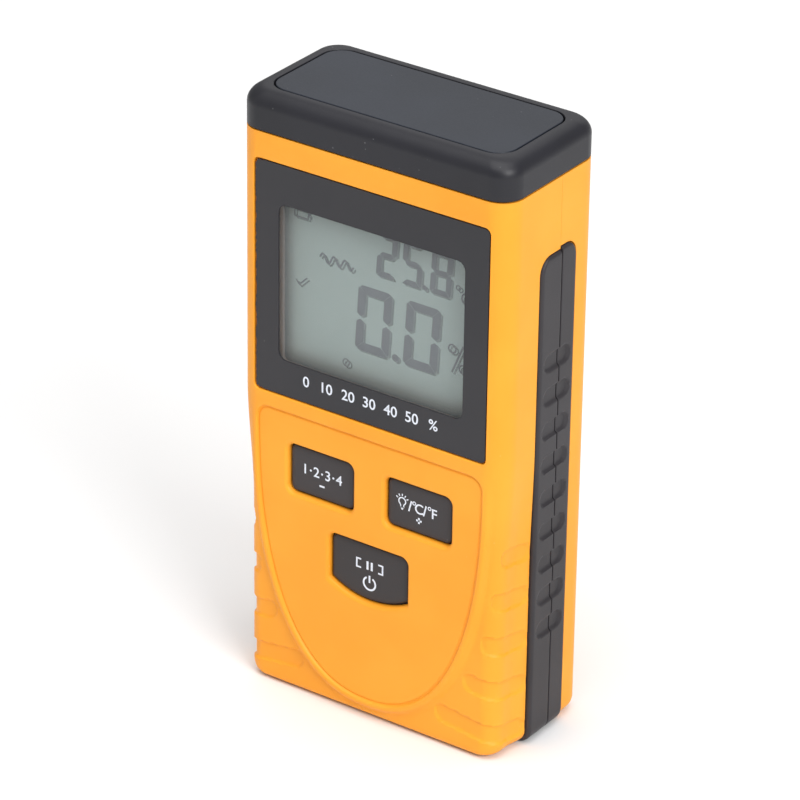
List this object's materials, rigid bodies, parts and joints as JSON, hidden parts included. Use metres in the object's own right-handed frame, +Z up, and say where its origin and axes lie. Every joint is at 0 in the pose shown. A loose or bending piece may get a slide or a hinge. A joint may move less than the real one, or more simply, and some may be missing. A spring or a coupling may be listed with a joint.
{
  "type": "moisture meter",
  "caption": "Hand-held pinless moisture meter with a flat sensor end, a display window, press keys, side grips and a hinged battery door.",
  "frame": {"origin": "middle of the base end, on the plane that the grip strips touch when the meter stands upright", "axes": "+Z up the length to the sensor face, -Y out of the display face, +X to the right of someone who reads the display"},
  "size_m": [0.0678, 0.033, 0.138],
  "materials": {
    "orange_shell": "fine matte moulded texture",
    "black_shell": "fine matte moulded texture",
    "black_rubber": "soft matte rubber",
    "key_black": "satin with pale printed symbols",
    "overlay_film": "satin printed film",
    "clear_window": "clear acrylic",
    "lcd_glass": "grey-green liquid crystal glass",
    "lcd_back": "silvered film",
    "white_plastic": "white moulded plastic",
    "board_green": "solder mask",
    "chip_black": "black moulding compound",
    "bright_steel": "plated steel",
    "copper": "bare copper foil",
    "battery_wrap": "printed jacket with no lettering",
    "white_print": "pale printed symbols",
    "lcd_segment": "dark liquid crystal segments",
    "red_insulation": "PVC insulation",
    "black_insulation": "PVC insulation"
  },
  "bodies": {
    "meter_body": {"front_housing": "orange_shell", "rear_housing": "orange_shell", "front_grip": "black_rubber", "rear_grip": "black_rubber", "sensor_cap": "black_shell", "sensor_plate": "black_shell", "sensor_electrode": "copper", "sensor_board": "board_green", "sensor_shield": "bright_steel", "sensor_screw_left": "bright_steel", "sensor_screw_right": "bright_steel", "sensor_lead": "black_insulation", "display_overlay": "overlay_film", "display_window": "clear_window", "lcd_polarizer": "lcd_glass", "lcd_front_glass": "lcd_glass", "lcd_rear_glass": "lcd_glass", "lcd_reflector": "lcd_back", "backlight_guide": "white_plastic", "backlight_led": "white_plastic", "contact_strip": "black_rubber", "display_holder": "white_plastic", "select_switch": "chip_black", "light_unit_switch": "chip_black", "hold_switch": "chip_black", "main_board": "board_green", "microcontroller": "chip_black", "signal_amplifier": "chip_black", "voltage_regulator": "chip_black", "crystal": "bright_steel", "thermistor": "chip_black", "filter_capacitor": "bright_steel", "buzzer": "chip_black", "board_screw_1": "bright_steel", "board_screw_2": "bright_steel", "board_screw_3": "bright_steel", "board_screw_4": "bright_steel", "battery": "battery_wrap", "battery_positive": "bright_steel", "battery_negative": "bright_steel", "battery_snap": "chip_black", "battery_lead_red": "red_insulation", "battery_lead_black": "black_insulation", "housing_screw_1": "bright_steel", "housing_screw_2": "bright_steel", "housing_screw_3": "bright_steel", "housing_screw_4": "bright_steel"},
    "battery_door": {"battery_door": "orange_shell"},
    "select_key": {"select_key": "key_black", "select_plunger": "white_plastic"},
    "light_unit_key": {"light_unit_key": "key_black", "light_unit_plunger": "white_plastic"},
    "hold_key": {"hold_key": "key_black", "hold_plunger": "white_plastic"}
  },
  "joints": [
    {"name": "battery_door_hinge", "type": "hinge", "parent": "meter_body", "child": "battery_door", "pos_m": [0, 0.0155, 0.0092], "axis": [-1, 0, 0], "range_deg": [0, 80]},
    {"name": "select_key_press", "type": "slide", "parent": "meter_body", "child": "select_key", "axis": [0, 1, 0], "range_m": [0, 0.0003], "stiffness_N_per_m": 1500},
    {"name": "light_unit_key_press", "type": "slide", "parent": "meter_body", "child": "light_unit_key", "axis": [0, 1, 0], "range_m": [0, 0.0003], "stiffness_N_per_m": 1500},
    {"name": "hold_key_press", "type": "slide", "parent": "meter_body", "child": "hold_key", "axis": [0, 1, 0], "range_m": [0, 0.0003], "stiffness_N_per_m": 1500}
  ]
}
